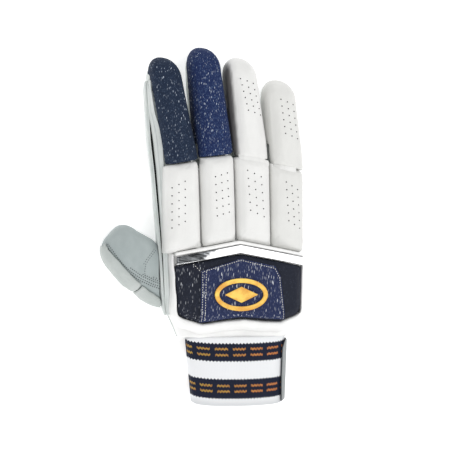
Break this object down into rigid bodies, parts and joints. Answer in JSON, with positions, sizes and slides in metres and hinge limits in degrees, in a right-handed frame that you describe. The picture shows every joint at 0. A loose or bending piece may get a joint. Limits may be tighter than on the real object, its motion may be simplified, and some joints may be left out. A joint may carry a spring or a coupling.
{
  "type": "cricket batting glove",
  "caption": "Right-hand padded batting glove lying on its palm, with finger rolls, knuckle pads, back panel, padded thumb and woven elastic cuff.",
  "frame": {"origin": "on the flat underside of the palm, under the middle of the back panel", "axes": "+Z out of the back of the hand, +Y towards the fingertips, +X towards the little finger"},
  "size_m": [0.165, 0.2819, 0.0432],
  "materials": {
    "white_leather": "smooth white coated leather, satin",
    "palm_leather": "soft pale leather with fine grain, matt",
    "thumb_leather": "grey-green leather with fine grain, matt",
    "navy_cloth": "navy melange cloth with short white flecks",
    "mirror_foil": "silvery mirror foil",
    "gilt_print": "raised gilt rubber print, satin",
    "elastic_knit": "white woven elastic with two navy bands and gold dashes",
    "strap_cloth": "grey woven strap",
    "edge_binding": "dark woven edge binding"
  },
  "bodies": {
    "root": {"palm": "palm_leather", "hand_back": "white_leather", "stall_index": "palm_leather", "stall_middle": "palm_leather", "stall_ring": "palm_leather", "stall_little": "palm_leather", "roll_index": "navy_cloth", "roll_middle": "navy_cloth", "roll_ring": "white_leather", "roll_little": "white_leather", "pad_index": "white_leather", "pad_middle": "white_leather", "pad_ring": "white_leather", "pad_little": "white_leather", "back_pad": "navy_cloth", "back_patch": "navy_cloth", "back_border": "white_leather", "v_piping": "white_leather", "mirror_trim": "mirror_foil", "emblem_ring": "gilt_print", "emblem_lozenge": "gilt_print", "side_welt": "palm_leather", "stall_thumb": "thumb_leather", "thumb_pad_tip": "palm_leather", "thumb_pad_base": "palm_leather", "cuff": "elastic_knit", "strap": "strap_cloth", "strap_edge": "edge_binding"}
  },
  "joints": []
}
